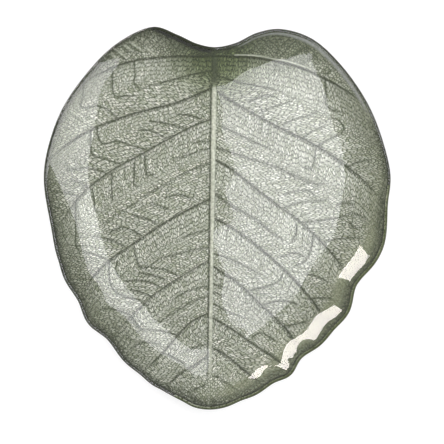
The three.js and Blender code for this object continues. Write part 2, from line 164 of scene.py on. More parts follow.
CROSS_VEINS = [
    [(-77, 109.5), (-77, 101.5), (-77, 95.5), (-76, 91.5), (-73, 89), (-68.5, 90), (-59.5, 90)],
    [(-61, 115.5), (-60.5, 105.5), (-61, 99.5), (-56.5, 95)],
    [(-98.5, 100), (-99, 90), (-100, 81.5), (-89, 82.5), (-81.5, 80.5), (-73, 73)],
    [(-56.5, 65), (-49.5, 64.5), (-43.5, 62), (-38.5, 59)],
    [(-49.5, 71.5), (-42, 70.5), (-33, 68.5), (-24.5, 65.5)],
    [(-28.5, 76.5), (-20, 75.5), (-10.5, 72.5)],
    [(-88.5, 66.5), (-87.5, 59.5), (-84.5, 55), (-73.5, 56.5), (-60.5, 52.5), (-49.5, 49.5)],
    [(-93, 65), (-93, 51.5), (-91.5, 46.5), (-81, 43), (-69, 39)],
    [(-111, 35), (-96.5, 36.5), (-87.5, 35), (-80.5, 32.5)],
    [(-107.5, 28), (-101, 25.5), (-95, 21.5)],
    [(-122, 19), (-111.5, 18), (-101.5, 15.5)],
    [(-53, 45.5), (-52.5, 37), (-51, 31.5), (-45, 32.5)],
    [(-61, 41), (-61, 29.5), (-61, 24), (-56, 23.5)],
    [(-77.5, 33), (-77.5, 22.5), (-77, 12.5)],
    [(-92, 21.5), (-90.5, 13), (-90, 6), (-87.5, 3.5)],
    [(-38.5, 15), (-27, 17), (-19, 14)],
    [(-49.5, 11), (-42, 9), (-34.5, 6)],
    [(-61, 2), (-51.5, -0.5), (-44, -4.5)],
    [(-79, -10.5), (-69, -7), (-62, -9.5), (-54.5, -13.5)],
    [(-92, -14), (-81, -15.5), (-75, -17.5), (-68, -21.5)],
    [(-104.5, 11), (-104.5, -9), (-103, -23.5), (-92, -26.5), (-79.5, -32)],
    [(-61, -21), (-59.5, -29.5), (-56, -36.5), (-49.5, -35.5), (-42, -29.5)],
    [(-48, -37), (-38.5, -38), (-28.5, -43)],
    [(-56, -40.5), (-48, -42), (-37, -46)],
    [(-68, -47), (-60.5, -46), (-49.5, -47.5), (-40, -52)],
    [(-63.5, -53), (-55, -55), (-48, -58)],
    [(-79.5, -32), (-79.5, -42), (-77.5, -52), (-68.5, -58.5), (-58, -60.5), (-52.5, -63)],
    [(-86, -67.5), (-77, -67.5), (-64, -72)],
    [(-73.5, -32.5), (-74.5, -38.5), (-72, -43.5), (-68, -42)],
    [(-63.5, -96.5), (-56, -92.5), (-42, -93)],
    [(-62.5, -74), (-56, -82), (-49.5, -83), (-38.5, -84), (-28.5, -87)],
    [(-36, -101), (-31, -104.5), (-26.5, -106.5), (-23, -110)],
    [(51.5, 117), (59, 122), (65.5, 126)],
    [(62.5, 114), (69, 118), (75.5, 121.5)],
    [(79.5, 106), (84.5, 108.5), (88.5, 109.5)],
    [(80, 103), (80.5, 90.5), (80.5, 83), (85.5, 79.5), (94, 78)],
    [(32.5, 77.5), (40.5, 81.5), (54, 86), (58.5, 90)],
    [(48.5, 68.5), (55.5, 72), (67, 75.5), (74.5, 79)],
    [(63.5, 59), (70, 63.5), (81, 68.5)],
    [(75, 53.5), (83.5, 58.5), (93.5, 64.5), (90.5, 71.5), (83.5, 73.5)],
    [(23, 85.5), (30.5, 88.5), (36, 90.5), (43.5, 89)],
    [(73, 51), (71.5, 41), (69.5, 36.5), (63.5, 37)],
    [(96.5, 38), (104, 41), (114, 43)],
    [(49.5, 7.5), (59, 11), (70, 12.5), (82, 13.5)],
    [(64, -3.5), (83.5, -1), (94.5, 1.5), (100, 3.5), (111, -1)],
    [(80.5, -17), (90.5, -15.5), (106.5, -14.5)],
    [(50, 17.5), (58.5, 20), (68, 20), (72.5, 16)],
    [(71, -11), (69.5, -22.5), (65.5, -31), (56, -36.5)],
    [(58.5, -4), (58.5, -11), (54.5, -18)],
    [(47, -28.5), (57.5, -26), (65, -29)],
    [(25, -53.5), (36, -50.5), (43.5, -48), (47, -45), (48.5, -40.5)],
    [(34.5, -64), (48.5, -61), (61, -64.5)],
    [(65.5, -41.5), (73, -43), (82.5, -47.5)],
    [(51, -80), (59, -78.5), (67, -76.5)],
    [(70.5, -60), (77.5, -59), (85, -59.5)],
    [(26, -88), (32.5, -85), (44, -91.5)],
    [(89, 10), (93.5, 11), (102.5, 10)],
    [(98, -3), (101, -7), (106.5, -7.5)],
    [(-77.3, 124.2), (-71.8, 120.1), (-66.3, 116.1)],
    [(-81.5, 121.5), (-77, 118), (-73, 114.5)],
    [(-85, 117.5), (-82, 115), (-79, 112.3)],
    [(-64.9, 128.6), (-59.7, 124.8), (-54.7, 121.2), (-51, 117.5)],
    [(-69.3, 126.4), (-66, 124), (-62.9, 121.7)],
]
# Painted highlights: pale flanks above the uppermost right vein and above the short veins of the left lobe
PAINTED_HIGHLIGHT_FLANKS = [
    [(13, 120), (24, 120), (33, 119), (40, 117.5), (50, 116),
     (57, 114), (64.5, 111.5), (72, 109), (79, 105)],
    [(-76.5, 125.5), (-71, 121.4), (-64, 116.3)],
    [(-64, 129.8), (-58.9, 126.1), (-52, 121)],
    [(-68.4, 127.6), (-65, 125.1), (-60, 121.5)],
    [(-54.5, 121), (-49, 116.5)],
    [(-51.6, 125.4), (-48, 122.5), (-42.5, 118)],
    [(-80.3, 122.5), (-76, 119.2), (-71.5, 115.5)],
]

# How veins are pressed and shown: the rise into the glass, its half width, the strength of the dark line,
# its half width, and the share of the length after which both fade
MAIN_PRESS = (0.6, 1.6, 1.0, 0.9, 0.82)
STRONG_PRESS = (0.5, 1.5, 0.95, 0.95, 0.9)
LESSER_PRESS = (0.36, 1.2, 1.1, 1.0, 0.6)
CROSS_PRESS = (0.22, 1.0, 1.2, 1.0, 0.9)
VEIN_END = 0.5
VEIN_SEARCH = 3
# The painted highlights beside veins: their strength, half width and the share after which they fade
HIGHLIGHT_FLANK_STRENGTH = 0.7
HIGHLIGHT_FLANK_WIDTH = 1.0
HIGHLIGHT_FLANK_HOLD = 0.6

# The midrib's groove, as shares of its width, and its pale core, a painted highlight, which starts some way
# from the tip and turns to a dark green painted shade toward the notch, with a line of painted shade along
# its left side
GROOVE_FLAT = 0.22
GROOVE_EDGE = 0.62
MIDRIB_HIGHLIGHT_TIP_HALF = 1.1
MIDRIB_HIGHLIGHT_NOTCH_HALF = 1.65
MIDRIB_HIGHLIGHT_SOFT = 0.45
MIDRIB_HIGHLIGHT_STARTS = (10, 60)
MIDRIB_HIGHLIGHT_TO_SHADE = (92, 102)
MIDRIB_SHADE_WIDTH = 0.8
SHADE_SIDE_OFF = 0.8
SHADE_SIDE_WIDTH = 1.2
SHADE_SIDE_STARTS = (6, 30)

# The film's dark lip: its width and strength, more along the lower right and left of the notch, where a
# painted shadow makes it black. At the upper right it leaves a band of bare glass. Pairs are where a change
# starts and ends.
LIP_FROM = 0.5
LIP_WIDTH = 5.5
WAVY_LIP_WIDTH = 9.0
NOTCH_SHADOW_EXTRA = 2.5
LIP_SOLID = 0.45
LIP_STRENGTH = 0.8
LOWER_RIGHT_STRENGTH = 0.95
LOWER_RIGHT = (-40, 110)
WAVY_SIDE = (60, 130)
NOTCH_SIDE_LEFT = (-58, -42)
NOTCH_SIDE_RIGHT = (-10, 0)
NOTCH_SIDE_LEVEL = (105, 118)
NOTCH_SHADOW_FROM = (-52, -36)
NOTCH_SHADOW_FADES = (2.2, 4.2)
BARE_WIDTH = 4.0
BARE_WIDTH_LOBE = 5.6
BARE_LOBE = (160, 200)
BARE_CORNER = (128, 150)
BARE_LEVEL = (60, 90)
BARE_SOLID = 0.55

# Where the film also runs over the rounded edge: past a place toward the lower right, and left of the
# notch, where it is a black painted shadow
COATED_LIP = 100
SHADOW_LIP_LEFT = -48
SHADOW_LIP_RIGHT = -4
SHADOW_LIP_LEVEL = 108
SHADOW_LIP_STRENGTH = 1.6
NOSE_VEIN = 0.95

# How finely the leaf is divided: rows in each band between two veins, columns from midrib to margin, and
# how many fine steps of the veined underside lie in one step of the smooth top. The rounded edge has steps
# from top to underside, of which the upper ones are clear.
BAND_ROWS = [16, 26, 24, 22, 17, 14, 10, 11]
ROW_CROWDING = 0.6
COLUMNS = 60
FINE = 3
NOSE_STEPS = 8
NOSE_CLEAR = 5
LENGTH_STEPS = 200
FIT_STEPS = 24
MAIN_STEPS = 40
DRAWN_STEPS = 24
TANGENT_STEP = 0.01
POINTS_AT_ONCE = 3000
RAIL_STEPS = 12
RAIL_EASE = 8
MILLI = 0.001

# How the film's strokes lie in a band: they hang from one vein and lean over toward the next. Each band and
# each half has its own place in the pattern, and at the notch and tip the strokes run at a slant.
BEND_PLACE = 0.4
BEND_EASE = 0.12
BEND_LEAN = 1.3
BAND_SHIFT_ALONG = 137
BAND_SHIFT_DOWN = 60
HALF_SHIFT = 1300
SLANT = 0.7


def smoothstep(x, low, high):
    t = np.clip((np.asarray(x, float) - low) / (high - low), 0, 1)
    return t * t * (3 - 2 * t)


def lerp(a, b, t):
    return a + (b - a) * t


def smooth_curve(points, closed):
    """A smooth curve through flat points, as a function of the point number."""
    pts = np.array(points, float)
    n = len(pts)
    ends = np.vstack([2 * pts[0] - pts[1], pts, 2 * pts[-1] - pts[-2]])

    def curve(t):
        t = np.asarray(t, float)
        if closed:
            i = np.floor(t).astype(int)
            w = t - i
            p = [pts[(i + k) % n] for k in (-1, 0, 1, 2)]
        else:
            i = np.clip(np.floor(t).astype(int), 0, n - 2)
            w = t - i
            p = [ends[i + k] for k in range(4)]
        d = [np.maximum(np.sum((p[k + 1] - p[k]) ** 2, -1), 1e-12)[..., None] ** 0.25 for k in range(3)]
        t1 = ((p[1] - p[0]) / d[0] - (p[2] - p[0]) / (d[0] + d[1]) + (p[2] - p[1]) / d[1]) * d[1]
        t2 = ((p[2] - p[1]) / d[1] - (p[3] - p[1]) / (d[1] + d[2]) + (p[3] - p[2]) / d[2]) * d[1]
        w = w[..., None]
        c2 = -3 * p[1] + 3 * p[2] - 2 * t1 - t2
        c3 = 2 * p[1] - 2 * p[2] + t1 + t2
        return p[1] + w * (t1 + w * (c2 + w * c3))

    return curve


def by_length(curve, spans):
    """The same curve as a function of the share of its length."""
    t = np.linspace(0, spans, LENGTH_STEPS + 1)
    run = np.concatenate([[0], np.cumsum(np.linalg.norm(np.diff(curve(t), axis=0), axis=1))])
    return lambda s: curve(np.interp(np.asarray(s, float) * run[-1], run, t))


# The drawn margin as one closed curve, fitted to the leaf's length and width
stations = [NOTCH] + [m[:2] for m in RIGHT["margin"]] + [TIP] + [m[:2] for m in reversed(LEFT["margin"])]
count = len(stations)
tip_place = len(RIGHT["margin"]) + 1
drawn = smooth_curve(stations, True)
drawn_points = drawn(np.linspace(0, count, count * FIT_STEPS + 1))
low, high = drawn_points.min(0), drawn_points.max(0)
fit_scale = np.array([LEAF_WIDTH, LEAF_LENGTH]) / (high - low)
fit_middle = (low + high) / 2

bulge = np.zeros(count)
for i, m in enumerate(RIGHT["margin"]):
    bulge[i + 1] = m[2] if len(m) > 2 else 0
for i, m in enumerate(LEFT["margin"]):
    bulge[count - i - 2] = m[2] if len(m) > 2 else 0


def fit(points):
    """Drawn points, fitted to the leaf's length and width."""
    return (np.asarray(points, float) - fit_middle) * fit_scale


def wave(p):
    """How far the margin bulges at a place, as a share of the scallop depth."""
    q = np.mod(p, count)
    return bulge[np.floor(q).astype(int) % count] * np.sin(np.pi * (q % 1)) ** 2


def base_margin(p):
    """The margin without its scallops."""
    return fit(drawn(np.asarray(p, float)))


def outward(curve, p):
    """The direction that points out of a closed curve."""
    along = curve(p + TANGENT_STEP) - curve(p - TANGENT_STEP)
    along = along / np.linalg.norm(along, axis=-1, keepdims=True)
    return np.stack([-along[..., 1], along[..., 0]], -1)


def outline(p):
    """The leaf's outermost line, with the scallops."""
    p = np.asarray(p, float)
    return base_margin(p) + outward(base_margin, p) * (SCALLOP_DEPTH * wave(p))[..., None]


def outline_out(p):
    return outward(outline, np.asarray(p, float))


def face_margin(p):
    """Where the top and the underside end and the rounded edge starts."""
    return outline(p) - EDGE_NOSE * outline_out(p)


def line_distance(points, line):
    """How far each point is from a polyline, its place along the line, and on which side it lies."""
    start, run = line[:-1], np.diff(line, axis=0)
    size = np.sum(run ** 2, 1)
    best = []
    for part in np.array_split(points, max(1, len(points) // POINTS_AT_ONCE)):
        to = part[:, None] - start
        k = np.clip(np.sum(to * run, 2) / size, 0, 1)
        off = to - k[..., None] * run
        gap = np.sum(off ** 2, 2)
        j = np.argmin(gap, 1)
        row = np.arange(len(part))
        turn = run[j, 0] * to[row, j, 1] - run[j, 1] * to[row, j, 0]
        best.append(np.stack([np.sqrt(gap[row, j]), j + k[row, j], turn], 1))
    return np.concatenate(best).T


# An eased margin, from which the rim's rise is measured
rail = base_margin(np.arange(count * RAIL_STEPS) / RAIL_STEPS)
shares = np.arange(-RAIL_EASE, RAIL_EASE + 1)
weights = RAIL_EASE + 1 - np.abs(shares)
rail = sum(w * np.roll(rail, -k, axis=0) for k, w in zip(shares, weights)) / weights.sum()
rail = np.concatenate([rail, rail[:1]])
UNDER_LEVEL = PAD_HEIGHT + 3 * BOND_GAP + BACKING_COAT + COLOUR_COAT


def heights(points):
    """The level of the smooth top, of the plain underside, the slope, and the share of the rim climbed."""
    split = tip_place * RAIL_STEPS
    sides = []
    for first, last in ((0, split), (split, count * RAIL_STEPS)):
        gap, at, turn = line_distance(points, rail[first:last + 1])
        sides.append((gap, np.where(turn <= 0, gap, -gap), (at + first) / RAIL_STEPS))
    right_near = sides[0][0] <= sides[1][0]
    depth = np.where(right_near, sides[0][1], sides[1][1])
    p = np.where(right_near, sides[0][2], sides[1][2])
    from_notch = np.minimum(p, count - p)
    off = np.minimum(1, np.abs(from_notch - SHOULDER_PLACE) / SHOULDER_REACH)
    rim_width = RIM_WIDTH - SHOULDER_TUCK * (1 - off ** 2) ** 2
    reach = np.maximum(VALLEY_BLEND * np.clip(depth / rim_width, 0, 1), 1e-9)
    apart = np.abs(sides[0][1] - sides[1][1])
    depth = depth - np.maximum(0, reach - apart) ** 2 / (4 * reach)
    lip = wave(p) * (1 - smoothstep(depth, 0, LIP_REACH)) * smoothstep(apart, 0, VALLEY_BLEND)
    climb = np.maximum(0, rim_width - depth - SCALLOP_DEPTH * lip) / RIM_WIDTH
    x, y = points.T
    rise = lerp(TIP_RISE, BASE_RISE, smoothstep(y, TIP_HALF, BASE_HALF))
    rise = rise + NOTCH_RISE * (1 - smoothstep(from_notch, 0, NOTCH_REACH))
    slope = 2 * rise * climb / RIM_WIDTH
    top = UNDER_LEVEL + GLASS_WALL + rise * climb ** 2 + RIM_RIPPLE * lip
    under = top - GLASS_WALL * np.hypot(1, slope)
    swell = sum(np.sin(across * x + along * y + begin) for across, along, begin in PRESS_SWELLS)
    top = top + PRESS_WAVE * swell * (1 - SWELL_LOSS * smoothstep(climb, 0, SWELL_CLIMB))
    return top, under, slope, 1 - depth / rim_width


# The ends of the midrib
midrib_top, midrib_end = face_margin(np.array([0.0, tip_place]))


def on_midrib(y):
    return lerp(midrib_top, midrib_end, (midrib_top[1] - y) / (midrib_top[1] - midrib_end[1]))


def place(side, p):
    """A point number counted down one side, as a place on the closed margin."""
    return p if side["sign"] > 0 else count - p


def main_vein(side, root, via, tip):
    """A main vein from the midrib to the margin, as a function of the share of its length."""
    knots = [on_midrib(fit((0, root))[1]), *fit(via), face_margin(np.array(place(side, float(tip))))]
    return by_length(smooth_curve(knots, False), len(knots) - 1)


def band_lines(side):
    """The lines between which the bands of one half lie, and the point number at which each ends."""
    lines = [(lambda s: face_margin(place(side, LOBE_CORNER * s)), LOBE_CORNER)]
    lines += [(main_vein(side, *vein), vein[2]) for vein in side["veins"]]
    lines += [(lambda s: face_margin(place(side, lerp(tip_place, TIP_CORNER, s))), TIP_CORNER)]
    return lines


def row_places(band, fine):
    """The shares across a band at which its rows lie, closer together beside the veins."""
    steps = BAND_ROWS[band]
    coarse = np.arange(steps + 1) / steps
    coarse = lerp(coarse, 0.5 - 0.5 * np.cos(np.pi * coarse), ROW_CROWDING)
    return np.interp(np.arange(steps * fine + 1) / fine, np.arange(steps + 1), coarse)


def band_points(one, two, outer, f, s):
    """Flat points between two lines, from the midrib out to the margin."""
    g, t = f[:, None, None], s[None, :, None]
    inner = lerp(one[0], two[0], f[:, None])
    across = lerp(one[None], two[None], g)
    along = lerp(inner[:, None], outer[:, None], t)
    corners = lerp(lerp(one[0], two[0], g), lerp(one[-1], two[-1], g), t)
    return across + along - corners


def band_uv(band, sign, one, two, at, f, s):
    """Where each point lies along and down its band, and its share of the way down, for the strokes."""
    width = np.linalg.norm(two - one, axis=1)
    length = np.sum(np.linalg.norm(np.diff((one + two) / 2, axis=0), axis=1))
    down = f[:, None]
    v = down * width[None] + BAND_SHIFT_DOWN * band
    bend = (down - BEND_PLACE + np.hypot(down - BEND_PLACE, BEND_EASE)) / 2
    arch = s * length + BEND_LEAN * width[None] * bend + BAND_SHIFT_ALONG * band
    if band in (0, len(BAND_ROWS) - 1):
        x, y = sign * at[..., 0], at[..., 1]
        arch, v = (x - y) * SLANT, (x + y) * SLANT
    arch = arch + (0 if sign > 0 else HALF_SHIFT)
    return np.stack([arch, v, np.broadcast_to(down, v.shape)], -1)


def blade(side, fine):
    """One half of the leaf as rows of flat points, with their places in the bands and on the margin."""
    s = np.linspace(0, 1, COLUMNS * fine + 1)
    lines = band_lines(side)
    rows, places_in_band, margins = [], [], []
    for band, ((one, one_end), (two, two_end)) in enumerate(zip(lines[:-1], lines[1:])):
        f = row_places(band, fine)
        edge = place(side, lerp(one_end, two_end, f))
        at = band_points(one(s), two(s), face_margin(edge), f, s)
        keep = len(f) if band == len(BAND_ROWS) - 1 else -1
        rows.append(at[:keep])
        margins.append(edge[:keep])
        places_in_band.append(band_uv(band, side["sign"], one(s), two(s), at, f, s))
    return {
        "at": np.concatenate(rows),
        "low_uv": np.concatenate([uv[:-1] for uv in places_in_band]),
        "high_uv": np.concatenate([uv[1:] for uv in places_in_band]),
        "margin": np.concatenate(margins),
        "first": place(side, LOBE_CORNER * s),
        "last": place(side, lerp(tip_place, TIP_CORNER, s)),
    }


def ridge(distance, half_width):
    return np.clip(1 - (distance / half_width) ** 2, 0, 1) ** 2


main_lines = []
for side in (RIGHT, LEFT):
    for line, _ in band_lines(side)[1:-1]:
        main_lines.append(line(np.linspace(0, 1, MAIN_STEPS + 1)))


def drawn_lines(veins):
    curves = [by_length(smooth_curve(fit(knots), False), len(knots) - 1) for knots in veins]
    return [curve(np.linspace(0, 1, DRAWN_STEPS + 1)) for curve in curves]


def near_line(points, line):
    """Points close to a line, and their distance and share along it."""
    box_low, box_high = line.min(0) - VEIN_SEARCH, line.max(0) + VEIN_SEARCH
    close = np.nonzero(np.all((points > box_low) & (points < box_high), 1))[0]
    gap, at, _ = line_distance(points[close], line)
    return close, gap, at / (len(line) - 1)


def midrib_ridge(points):
    """How far points are off the midrib, how wide it is there and how deep its groove is."""
    y = points[:, 1]
    share = (midrib_top[1] - y) / (midrib_top[1] - midrib_end[1])
    off = points[:, 0] - on_midrib(y[:, None])[:, 0]
    width = lerp(MIDRIB_WIDTH, MIDRIB_TIP_WIDTH, np.clip(share, 0, 1))
    depth = smoothstep(midrib_top[1] - y, 0, MIDRIB_START) * smoothstep(y - midrib_end[1], 0, MIDRIB_FADE)
    return off, width, depth


def relief(points, lesser=True):
    """How far the underside is pressed up into the glass, and how strongly a vein shows, at flat points.
    Where a painted highlight shows, the midrib's pale core or a pale flank, the second value is negative.
    The second value also carries the midrib's painted shade."""
    off, width, depth = midrib_ridge(points)
    up = MIDRIB_DEPTH * depth * (1 - smoothstep(np.abs(off), width * GROOVE_FLAT, width * GROOVE_EDGE))
    y = points[:, 1]
    from_tip = y - midrib_end[1]
    # Painted highlight: the midrib's pale core; painted shade: dark green toward the notch
    green = smoothstep(y, *MIDRIB_HIGHLIGHT_TO_SHADE)
    half = lerp(MIDRIB_HIGHLIGHT_TIP_HALF, MIDRIB_HIGHLIGHT_NOTCH_HALF, smoothstep(y, midrib_end[1], midrib_top[1]))
    core = 1 - smoothstep(np.abs(off), half - MIDRIB_HIGHLIGHT_SOFT, half + MIDRIB_HIGHLIGHT_SOFT)
    core = core * smoothstep(from_tip, *MIDRIB_HIGHLIGHT_STARTS) * (1 - green)
    # A line of painted shade along the midrib's left side
    beside = ridge(off + half + SHADE_SIDE_OFF, SHADE_SIDE_WIDTH) * smoothstep(from_tip, *SHADE_SIDE_STARTS)
    shade = lerp(beside, ridge(off, width * MIDRIB_SHADE_WIDTH), green)

    def press(lines, rise, half_width, dark, dark_width, hold):
        for line in lines:
            close, away, share = near_line(points, line)
            fade = 1 - smoothstep(share, hold, 1)
            up[close] = np.maximum(up[close], rise * fade * ridge(away, half_width))
            darkness = dark * lerp(VEIN_END, 1, fade) * ridge(away, dark_width)
            shade[close] = np.maximum(shade[close], darkness)

    press(main_lines, *MAIN_PRESS)
    if lesser:
        press(drawn_lines(STRONG_VEINS), *STRONG_PRESS)
        press(drawn_lines(LESSER_VEINS), *LESSER_PRESS)
        press(drawn_lines(CROSS_VEINS), *CROSS_PRESS)
        # Painted highlights beside veins, shown like the midrib's pale core
        for line in drawn_lines(PAINTED_HIGHLIGHT_FLANKS):
            close, away, share = near_line(points, line)
            pale = HIGHLIGHT_FLANK_STRENGTH * ridge(away, HIGHLIGHT_FLANK_WIDTH) * (1 - smoothstep(share, HIGHLIGHT_FLANK_HOLD, 1))
            core[close] = np.maximum(core[close], pale)
    return up, lerp(shade, -1, core)


def lip_shade(points, margin):
    """How dark the film is along the lip: above 1 it is a black painted shadow, and below 0 the lip is bare
    glass.
    """
    closed = outline(np.linspace(0, count, count * RAIL_STEPS + 1))
    near = np.nonzero(margin > LIP_FROM)[0]
    gap = line_distance(points[near], closed)[0]
    x, y = points[near].T
    # Left of the notch the lip is widened and darkened into a painted shadow
    by_notch = smoothstep(x, *NOTCH_SIDE_LEFT) * (1 - smoothstep(x, *NOTCH_SIDE_RIGHT))
    by_notch = by_notch * smoothstep(y, *NOTCH_SIDE_LEVEL)
    broad = lerp(LIP_WIDTH, WAVY_LIP_WIDTH, smoothstep(x - y, *WAVY_SIDE)) + NOTCH_SHADOW_EXTRA * by_notch
    strength = lerp(LIP_STRENGTH, LOWER_RIGHT_STRENGTH, smoothstep(x - y, *LOWER_RIGHT))
    dark = np.maximum(strength, by_notch) * (1 - smoothstep(gap, LIP_SOLID * broad, broad))
    width = lerp(BARE_WIDTH, BARE_WIDTH_LOBE, smoothstep(x + y, *BARE_LOBE))
    bare = smoothstep(x + y, *BARE_CORNER) * smoothstep(y, *BARE_LEVEL)
    bare = bare * (1 - smoothstep(gap, BARE_SOLID * width, width))
    # The black painted shadow left of the notch
    black = by_notch * smoothstep(x, *NOTCH_SHADOW_FROM) * (1 - smoothstep(gap, *NOTCH_SHADOW_FADES))
    shade = np.zeros(len(points))
    shade[near] = lerp(dark, -1, bare) + black
    return shade


def zipper(one, two, y_one, y_two):
    """Triangles between two chains of points that both run down the midrib."""
    i = j = 0
    faces = []
    while i < len(one) - 1 or j < len(two) - 1:
        ahead_one = y_one[i + 1] if i < len(one) - 1 else -np.inf
        ahead_two = y_two[j + 1] if j < len(two) - 1 else -np.inf
        if ahead_one >= ahead_two:
            faces.append((one[i], one[i + 1], two[j]))
            i += 1
        else:
            faces.append((one[i], two[j + 1], two[j]))
            j += 1
    return faces


class Sheet:
    """One surface of the leaf over both halves; the midrib's points belong to the right half."""

    def __init__(self, fine):
        self.halves = [blade(side, fine) for side in (RIGHT, LEFT)]
        right, left = self.halves[0]["at"], self.halves[1]["at"][:, 1:]
        self.index = [np.arange(right[..., 0].size).reshape(right.shape[:2]),
                      right[..., 0].size + np.arange(left[..., 0].size).reshape(left.shape[:2])]
        self.flat = np.concatenate([right.reshape(-1, 2), left.reshape(-1, 2)])
        self.top, self.under, self.slope, self.margin = heights(self.flat)

    def faces(self, start, up):
        """Faces of this surface, whose points are numbered from start."""
        made = []
        for h, index in enumerate(self.index):
            a, b, c, d = index[:-1, :-1], index[1:, :-1], index[1:, 1:], index[:-1, 1:]
            order = (a, b, c, d) if (h == 0) == up else (a, d, c, b)
            made += (np.stack(order, -1).reshape(-1, 4) + start).tolist()
        inner, outer = self.index[0][:, 0], self.index[1][:, 0]
        y = self.flat[:, 1]
        strip = zipper(inner.tolist(), outer.tolist(), y[inner], y[outer])
        flip = strip if not up else [(p, r, q) for p, q, r in strip]
        return made + [tuple(k + start for k in face) for face in flip]

    def corner_uv(self):
        """Each face corner's place in its band, in the order of the faces of a downward surface."""
        made = []
        for h, half in enumerate(self.halves):
            low_uv, high_uv = half["low_uv"][:, h:], half["high_uv"][:, h:]
            a, b, c, d = low_uv[:, :-1], high_uv[:, :-1], high_uv[:, 1:], low_uv[:, 1:]
            order = (a, d, c, b) if h == 0 else (a, b, c, d)
            made.append(np.stack(order, 2).reshape(-1, 3))
        strip = sum(len(index) - 1 for index in self.index)
        made.append(np.zeros((strip * 3, 3)))
        return np.concatenate(made)

    def loop(self):
        """The points round the edge, clockwise from the notch, and their places on the margin."""
        right, left = self.index
        half_r, half_l = self.halves
        ids = np.concatenate([right[0, :-1], right[:-1, -1], right[-1, ::-1], left[-1, :-1],
                              left[::-1, -1][:-1], left[0, ::-1]])
        places = np.concatenate([half_r["first"][:-1], half_r["margin"][:-1], half_r["last"][::-1],
                                 half_l["last"][1:-1], half_l["margin"][::-1][:-1],
                                 half_l["first"][1:][::-1]])
        return ids, places


def new_piece(name, points, faces, materials, node, slot):
    mesh = bpy.data.meshes.new(name)
    faces = [[int(v) for v in face] for face in faces]
    mesh.from_pydata((np.asarray(points) * MILLI).tolist(), [], faces)
    for material in materials:
        mesh.materials.append(material)
    mesh.shade_smooth()
    piece = bpy.data.objects.new(name, mesh)
    bpy.context.scene.collection.objects.link(piece)
    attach(piece, "root")
    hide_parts(node)
    return piece


def solid(flat, z):
    return np.column_stack([flat, z])


def band_faces(one, two):
    """Quads between two rings of the same count."""
    nxt = np.roll(np.arange(len(one)), -1)
    return np.stack([one, one[nxt], two[nxt], two], 1).tolist()


# The film's colours: dull and bright strokes, the dark between them and in the loops, the painted shade of
# rim and right lobe, the notch's tint, the grain of the wavy side, the painted highlight of the pale
# midrib, the veins, the lip with its black painted shadow, and the bare glass.
# A dappled one has the spots per metre and two tones.
STROKE_DULL = (0.42, 0.45, 0.32)
STROKE_BRIGHT = (1.0, 1.0, 0.92)
STROKE_GAP = (0.035, 0.055, 0.01)
LOOP_GREEN = (0.06, 0.08, 0.03)
RIM_SHADE = (0.53, 0.55, 0.46)
NOTCH_TINT = (0.36, 0.44, 0.2)
LOBE_SHADE = (0.52, 0.55, 0.45)
GRAIN = (800, (0.1, 0.12, 0.05), (0.26, 0.29, 0.17))
HIGHLIGHT_CREAM = (700, (0.5, 0.52, 0.41), (0.76, 0.78, 0.66))
VEIN_GREEN = (0.045, 0.06, 0.02)
LIP_GREEN = (0.03, 0.04, 0.01)
LIP_SHADOW_BLACK = (0.012, 0.016, 0.004)
BARE_GLASS = (900, (0.25, 0.26, 0.245), (0.42, 0.43, 0.41))

# Sizes of the strokes in millimetres, how unevenly they lie, and where in a band they start to lean
HANGING_STROKE = (0.98, 3.4)
LEANING_STROKE = (1.55, 2.3)
STROKE_SCATTER = 0.9
LEAN_FROM = (0.35, 0.5)

# Where the painted shade and the tints start and end: up the rim as shares of it, and over the leaf in
# metres
RIM_SHADE_CLIMB = (0.25, 0.9)
RIM_SHADE_LEVELS = (-0.13, -0.085)
PLAIN_CLIMB = (0.6, 0.72)
PLAIN_WAY = (1, -1, 0)
PLAIN_REACH = (0.08, 0.14)
PLAIN_SHARE = 0.65
NOTCH_MIDDLE = (0, 0.122, 0.012)
NOTCH_TINT_REACH = (0.01, 0.05)
LOBE_MIDDLE = (0.055, 0.133, 0.012)
LOBE_SHADE_REACH = (0.012, 0.045)


